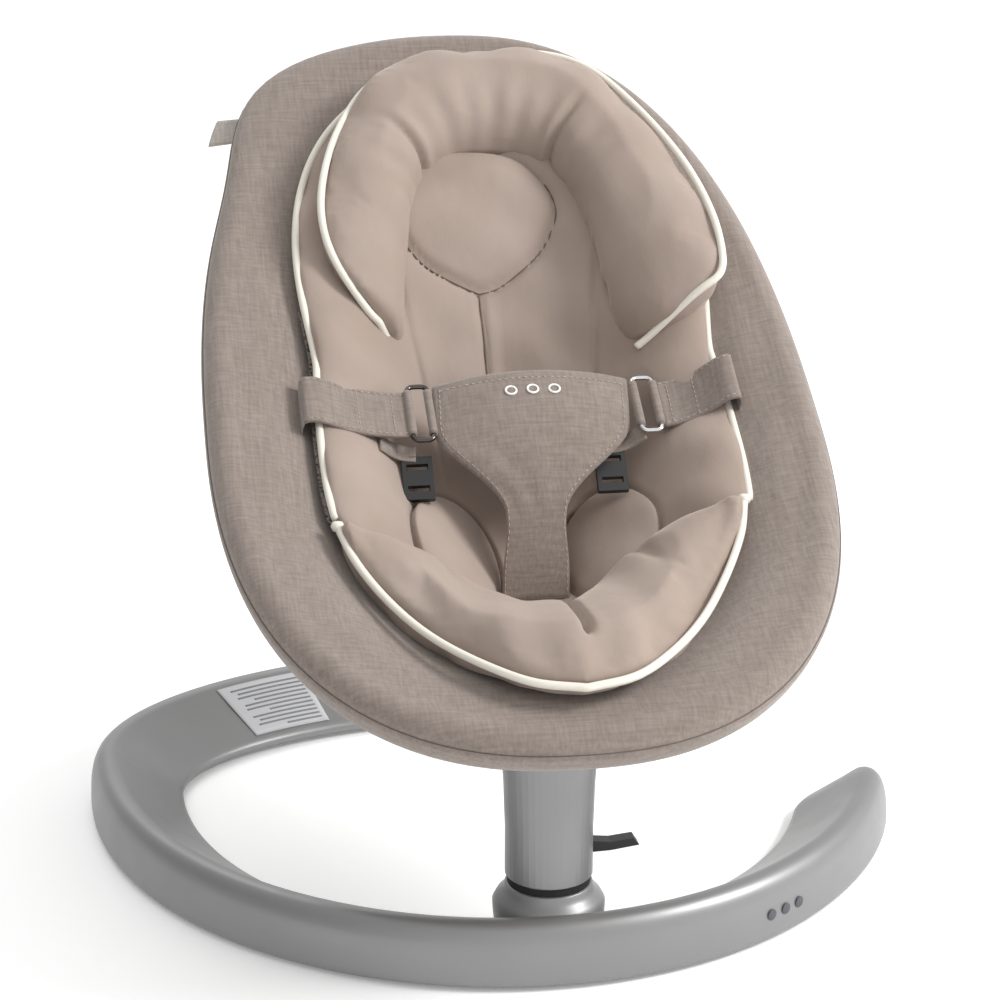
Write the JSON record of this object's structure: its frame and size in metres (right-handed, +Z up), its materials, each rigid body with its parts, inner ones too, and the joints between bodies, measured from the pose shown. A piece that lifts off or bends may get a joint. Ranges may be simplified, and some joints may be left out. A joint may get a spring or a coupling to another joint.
{
  "type": "bouncer seat",
  "caption": "Padded fabric baby seat on an oval tube frame that sways on a short post above an open cast ring base.",
  "frame": {"origin": "underside of the rubber foot below the post, on the post axis, on the floor", "axes": "+Z up, -Y towards the foot end of the seat, +X to the right seen from the front"},
  "size_m": [0.656, 0.6887, 0.6138],
  "materials": {
    "cast_aluminium": "satin",
    "steel": "satin",
    "chrome": "polished",
    "powder_coat": "satin powder coat",
    "black_nylon": "moulded",
    "acetal": "moulded",
    "rubber": "matte",
    "linen": "melange linen-look weave",
    "jersey": "smooth knitted jersey over padding",
    "tag_tape": "woven tape, blank",
    "paper_label": "printed film, blank bars only"
  },
  "bodies": {
    "base": {"base_ring": "cast_aluminium", "foot_pad_post": "rubber", "foot_pad_front_left": "rubber", "foot_pad_front_right": "rubber", "foot_pad_left": "rubber", "foot_pad_back_left": "rubber", "foot_pad_back": "rubber", "rating_label": "paper_label", "gasket_ring": "rubber", "pivot_shaft": "steel", "shaft_screw": "steel", "retaining_ring": "steel"},
    "post": {"post_sleeve": "cast_aluminium", "bush_lower": "acetal", "bush_upper": "acetal", "centring_spring": "steel", "recline_pin": "steel", "detent_plate": "steel", "lock_lever_pin": "steel"},
    "lock_lever_body": {"lock_lever": "black_nylon"},
    "lock_pin_body": {"lock_pin": "steel"},
    "seat": {"seat_cover": "linen", "insert_pad": "jersey", "head_bolster": "jersey", "leg_roll": "jersey", "woven_tag": "tag_tape", "frame_tube_upper": "powder_coat", "frame_tube_lower": "powder_coat", "seat_cradle": "black_nylon", "cradle_screw_head_right": "steel", "cradle_screw_foot_right": "steel", "cradle_screw_foot_left": "steel", "cradle_screw_head_left": "steel", "recline_lever_pin": "steel", "recline_lever_spring": "steel", "crotch_piece": "linen", "side_belt_left": "linen", "side_belt_right": "linen", "wire_loop_left": "chrome", "wire_loop_right": "chrome", "buckle_left": "black_nylon", "buckle_right": "black_nylon", "strap_tail_left": "linen", "strap_tail_right": "linen"},
    "recline_lever_body": {"recline_lever": "black_nylon"},
    "snap_left": {"snap_button_left": "steel"},
    "snap_right": {"snap_button_right": "steel"}
  },
  "joints": [
    {"name": "seat_sway", "type": "hinge", "parent": "base", "child": "post", "pos_m": [0, 0, 0.1], "axis": [0, 0, 1], "range_deg": [-24, 24], "stiffness_Nm_per_rad": 6},
    {"name": "seat_recline", "type": "hinge", "parent": "post", "child": "seat", "pos_m": [0, 0.058, 0.178], "axis": [1, 0, 0], "range_deg": [-12, 6]},
    {"name": "recline_lever_pull", "type": "hinge", "parent": "seat", "child": "recline_lever_body", "pos_m": [0, 0.15229, 0.19025], "axis": [1, 0, 0], "range_deg": [0, 10], "stiffness_Nm_per_rad": 1.2, "springref_deg": -5.73},
    {"name": "sway_lock_press", "type": "hinge", "parent": "post", "child": "lock_lever_body", "pos_m": [0.032, 0.01, 0.082], "axis": [0, -1, 0], "range_deg": [0, 12]},
    {"name": "sway_lock_pin_drop", "type": "slide", "parent": "post", "child": "lock_pin_body", "axis": [0, 0, -1], "range_m": [0, 0.0017], "stiffness_N_per_m": 300},
    {"name": "snap_button_left_press", "type": "slide", "parent": "seat", "child": "snap_left", "axis": [-1, 0, 0], "range_m": [0, 0.002], "stiffness_N_per_m": 800},
    {"name": "snap_button_right_press", "type": "slide", "parent": "seat", "child": "snap_right", "axis": [1, 0, 0], "range_m": [0, 0.002], "stiffness_N_per_m": 800}
  ]
}
